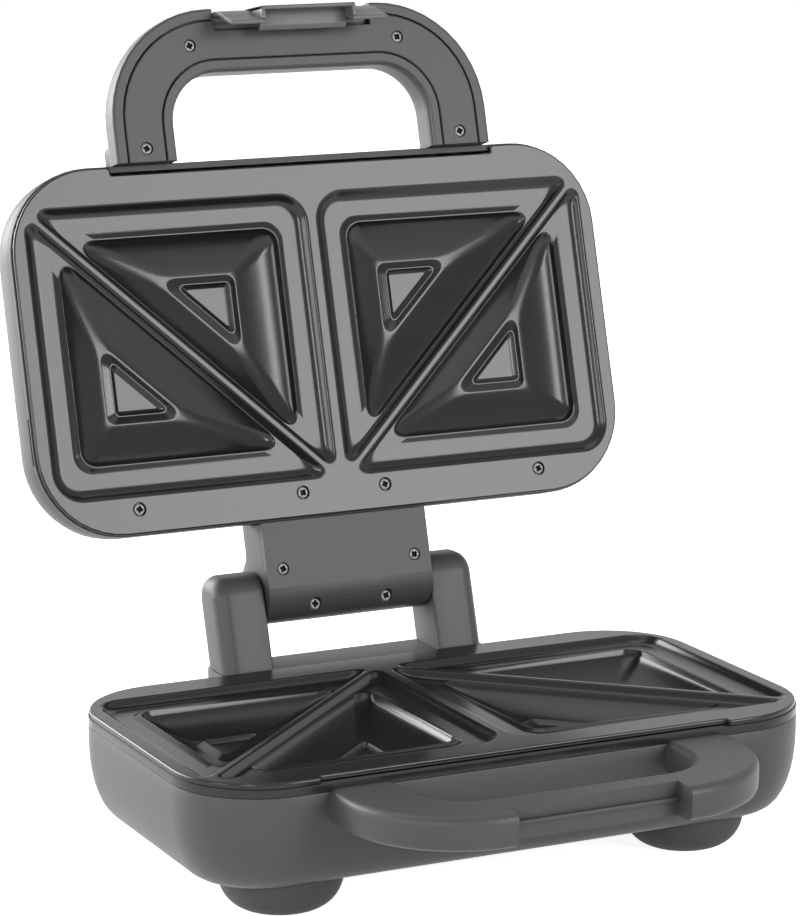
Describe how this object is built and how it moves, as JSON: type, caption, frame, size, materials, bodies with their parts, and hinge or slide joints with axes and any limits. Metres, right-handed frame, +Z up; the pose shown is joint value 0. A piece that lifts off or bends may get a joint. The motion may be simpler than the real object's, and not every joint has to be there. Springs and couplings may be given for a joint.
{
  "type": "sandwich toaster",
  "caption": "Hinged sandwich toaster with diagonal-ribbed pocket plates, bow handles, a snap latch and a tall lid hinge, shown open.",
  "frame": {"origin": "bottom centre of the bounding box with the lid at its stop, on the surface the feet stand on", "axes": "+X across to the right seen from the front, +Y from the handles to the hinge, +Z up"},
  "size_m": [0.2632, 0.2895, 0.3233],
  "materials": {
    "shell_plastic": "fine matt texture",
    "handle_plastic": "fine matt texture",
    "cover_plastic": "smooth matt",
    "latch_plastic": "smooth matt",
    "trim_gloss": "gloss",
    "non_stick": "satin non-stick coating",
    "screw_steel": "bright zinc",
    "heater_sheath": "heat-stained sheath",
    "spring_steel": "rolled strip",
    "reflector_sheet": "mill finish",
    "pin_steel": "turned",
    "foot_rubber": "matt",
    "gland_rubber": "matt",
    "terminal_plastic": "moulded",
    "ceramic": "glazed ceramic body",
    "board": "laminate",
    "red_lens": "clear tinted",
    "green_lens": "clear tinted"
  },
  "bodies": {
    "base": {"base_shell": "shell_plastic", "base_trim_ring": "trim_gloss", "lower_plate": "non_stick", "lower_plate_screws": "screw_steel", "lower_element": "heater_sheath", "lower_reflector": "reflector_sheet", "lower_element_clips": "spring_steel", "base_handle": "handle_plastic", "base_handle_screws": "screw_steel", "hinge_post_left": "shell_plastic", "hinge_post_right": "shell_plastic", "post_screws": "screw_steel", "hinge_pin_left": "pin_steel", "hinge_pin_right": "pin_steel", "foot_front_left": "foot_rubber", "foot_front_right": "foot_rubber", "foot_rear_left": "foot_rubber", "foot_rear_right": "foot_rubber", "foot_screws": "screw_steel", "terminal_block": "terminal_plastic", "cord_gland": "gland_rubber"},
    "lid": {"lid_shell": "shell_plastic", "lid_trim_ring": "trim_gloss", "upper_plate": "non_stick", "upper_plate_screws": "screw_steel", "upper_element": "heater_sheath", "upper_reflector": "reflector_sheet", "upper_element_clips": "spring_steel", "thermostat": "ceramic", "thermal_fuse": "ceramic", "lamp_board": "board", "power_lamp": "red_lens", "ready_lamp": "green_lens", "lid_handle": "handle_plastic", "lid_handle_cover": "cover_plastic", "lid_handle_screws": "screw_steel", "hinge_arm": "shell_plastic", "hinge_arm_cover": "cover_plastic", "arm_cover_screws": "screw_steel", "arm_barrel_screws": "screw_steel", "arm_mount_screws": "screw_steel", "latch_pin": "pin_steel"},
    "latch": {"latch": "latch_plastic"}
  },
  "joints": [
    {"name": "lid_hinge", "type": "hinge", "parent": "base", "child": "lid", "pos_m": [0, 0.0914, 0.0826], "axis": [1, 0, 0], "range_deg": [0, 105.6]},
    {"name": "latch_pivot", "type": "hinge", "parent": "lid", "child": "latch", "pos_m": [0, 0.13297, 0.31363], "axis": [1, 0, 0], "range_deg": [-60, 5.5]}
  ]
}
